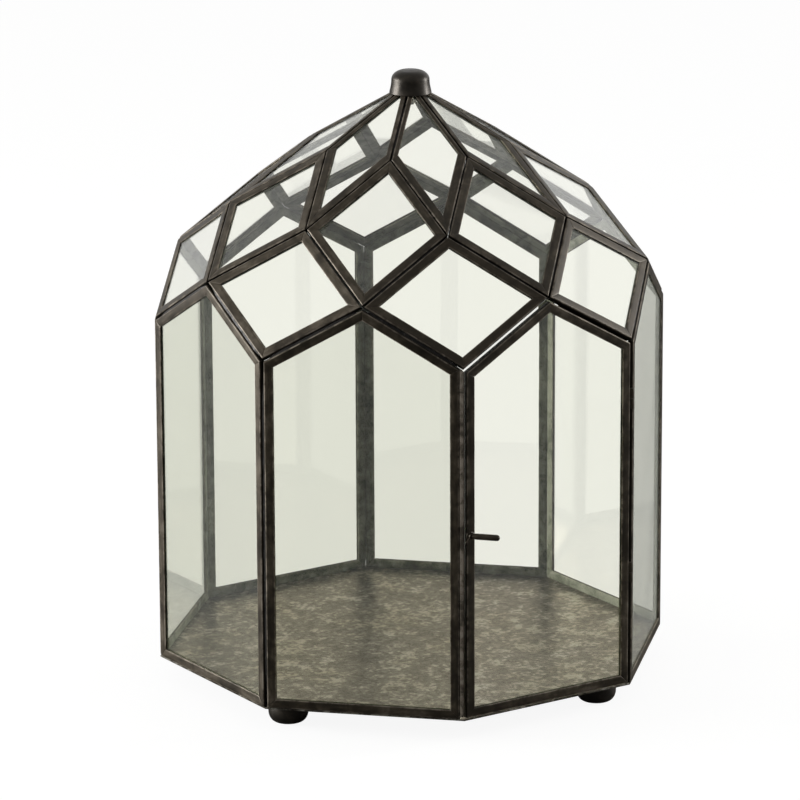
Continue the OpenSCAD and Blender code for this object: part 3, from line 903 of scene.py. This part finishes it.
def latch_plane(y):
    """The plane that the latch turns in, at that depth, with z away from the door."""
    low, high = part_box("latch_boss")
    middle = (low + high) / 2
    return Matrix.Translation((middle.x, y, middle.z)) @ Matrix.Rotation(math.pi / 2, 4, "X")


def make_latch_boss(came):
    """A dished ring on the door's stile, with a rolled rim."""
    low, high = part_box("latch_boss")
    radius, thick = (high.x - low.x) / 2, high.y - low.y
    profile = [(BOSS_HOLE, 0), (radius - 0.15 * MM, 0), (radius, 0.2 * MM)]
    profile += arc((radius - RIM_R, thick - RIM_R), RIM_R, 0, 90, 5)
    profile += [(radius * 0.62, thick - BOSS_DISH), (BOSS_HOLE + 0.2 * MM, thick - 0.1 * MM),
                (BOSS_HOLE, thick - BOSS_DISH)]
    shape = Shape()
    shape.add(*lathe(profile, 48), latch_plane(high.y))
    shape.piece("latch_ring", "door", came, "came", ["latch_boss"])


def make_latch_handle(came):
    """A round bar that leans away from the door, with an eye at its root and a wire tail."""
    seat = latch_plane(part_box("latch_handle")[1].y)
    reach = Vector((math.cos(HANDLE_ANGLE), 0, math.sin(HANDLE_ANGLE)))
    foot = Vector((0, 0, HANDLE_FOOT))
    path = [Vector((0.15 * MM, 0, HANDLE_R * 0.62)), Vector((1.1 * MM, 0, 2.05 * MM))]
    path += [foot + reach * HANDLE_L * s for s in (0.22, 0.4, 0.6, 0.8)]
    end_path, end_radii = round_end(foot + reach * HANDLE_L, reach, HANDLE_R)
    radii = [HANDLE_R * 0.62, HANDLE_R * 0.94] + [HANDLE_R] * 4 + end_radii
    shape = Shape()
    shape.add(*tube(path + end_path, radii, 28), seat)
    eye = [(0, 0), (HANDLE_R - 0.1 * MM, 0), (HANDLE_R, 0.15 * MM), (HANDLE_R, 1.2 * MM)]
    eye += arc((HANDLE_R - EYE_ROUND, 1.3 * MM), EYE_ROUND, 20, 90, 4)
    eye += [(0.9 * MM, EYE_H), (0, EYE_H - 0.05 * MM)]
    shape.add(*lathe(eye, 40), seat)
    away, root = Vector((-math.sqrt(0.5), -math.sqrt(0.5), 0)), Vector((0, 0, TAIL_R))
    end_path, end_radii = round_end(root + away * TAIL_L, away, TAIL_R)
    path = [root, root + away * 2 * MM] + end_path
    shape.add(*tube(path, [TAIL_R, TAIL_R] + end_radii, 16), seat)
    shape.piece("latch_bar", "latch", came, "came", ["latch_handle"])


# ---------------------------------------------------------------- stage and light

FLOOR_R = 9.0
FLOOR_COLOUR = (0.15, 0.15, 0.148, 1)
FLOOR_GLOW = 0.91         # brightness where seen directly
FLOOR_STEPS = 64


def make_stage():
    """A plain pale floor. Seen directly it is near white, and its reflection is dimmer."""
    material, tree = new_material("studio_floor")
    plain = add(tree, "ShaderNodeBsdfDiffuse", {"Color": FLOOR_COLOUR})
    glow = add(tree, "ShaderNodeEmission", {"Color": (1, 1, 1, 1), "Strength": FLOOR_GLOW})
    nothing = add(tree, "ShaderNodeEmission", {"Strength": 0.0})
    lit = add(tree, "ShaderNodeMixShader", {
        0: seen_directly(tree), 1: nothing.outputs[0], 2: glow.outputs[0]})
    both = add(tree, "ShaderNodeAddShader", {0: plain.outputs[0], 1: lit.outputs[0]})
    close(tree, both.outputs[0])
    mesh = bpy.data.meshes.new("floor")
    angles = [2 * math.pi * n / FLOOR_STEPS for n in range(FLOOR_STEPS)]
    mesh.from_pydata([(FLOOR_R * math.cos(a), FLOOR_R * math.sin(a), 0) for a in angles],
                     [], [list(range(FLOOR_STEPS))])
    mesh.materials.append(material)
    floor = bpy.data.objects.new("floor", mesh)
    bpy.context.scene.collection.objects.link(floor)


# Brightness from the side towards the camera round to the side away from it, and overhead.
WORLD_ROUND = ((0.0, 0.15), (0.5, 0.26), (0.8, 0.75), (1.0, 0.95))
WORLD_TOP = 0.38
WORLD_TURN = math.radians(150)      # azimuth of its brightest side, from the camera's


def make_world():
    """A pale studio: dim in front of the door side, bright behind, white where seen directly."""
    world = bpy.data.worlds.new("studio")
    world.use_nodes = True
    tree = world.node_tree
    tree.nodes.clear()
    direction = add(tree, "ShaderNodeTexCoord").outputs["Generated"]
    brightest = outwards(CAMERA_AZIMUTH + WORLD_TURN, 0)
    facing = add(tree, "ShaderNodeVectorMath", {0: direction, 1: brightest},
                 operation="DOT_PRODUCT").outputs["Value"]
    share = add(tree, "ShaderNodeMath", {0: facing, 1: 0.5, 2: 0.5}, operation="MULTIPLY_ADD")
    level = ramp(tree, share.outputs[0], *WORLD_ROUND)
    up = add(tree, "ShaderNodeSeparateXYZ", {0: direction}).outputs["Z"]
    overhead = ramp(tree, up, (0.25, 0.0), (0.75, 1.0))
    level = blend(tree, overhead, level, grey(WORLD_TOP))
    level = blend(tree, seen_directly(tree), level, grey(1.0))
    shine = add(tree, "ShaderNodeBackground", {"Color": level, "Strength": 1.0})
    add(tree, "ShaderNodeOutputWorld", {"Surface": shine.outputs[0]})
    bpy.context.scene.world = world


def softbox(name, azimuth, elevation, distance, width, height, power):
    """A soft light at an azimuth measured from the camera's, facing the object."""
    back = outwards(CAMERA_AZIMUTH + math.radians(azimuth), math.radians(elevation))
    data = bpy.data.lights.new(name, "AREA")
    data.shape, data.size, data.size_y, data.energy = "RECTANGLE", width, height, power
    light = bpy.data.objects.new(name, data)
    light.location = back * distance + Vector((0, 0, APEX_Z / 2))
    light.rotation_mode = "QUATERNION"
    light.rotation_quaternion = back.to_track_quat("Z", "Y")
    bpy.context.scene.collection.objects.link(light)


def make_lights():
    softbox("softbox_left", azimuth=-90, elevation=6, distance=2.0, width=1.2, height=0.9,
            power=52)
    softbox("softbox_right", azimuth=104, elevation=8, distance=2.0, width=0.3, height=1.0,
            power=22)


# ---------------------------------------------------------------- all of it

make_camera()
came, turned, solder = came_material(), turned_material(), solder_material()
steel, zinc, glass = steel_material(), zinc_material(), glass_material()
make_glasshouse(came, glass)
make_solder(solder)
make_base_plate(zinc)
make_feet(turned)
make_finial(turned)
make_fittings(came, steel)
make_latch_boss(came)
make_latch_handle(came)
make_stage()
make_world()
make_lights()
bpy.context.scene.view_settings.view_transform = "Standard"
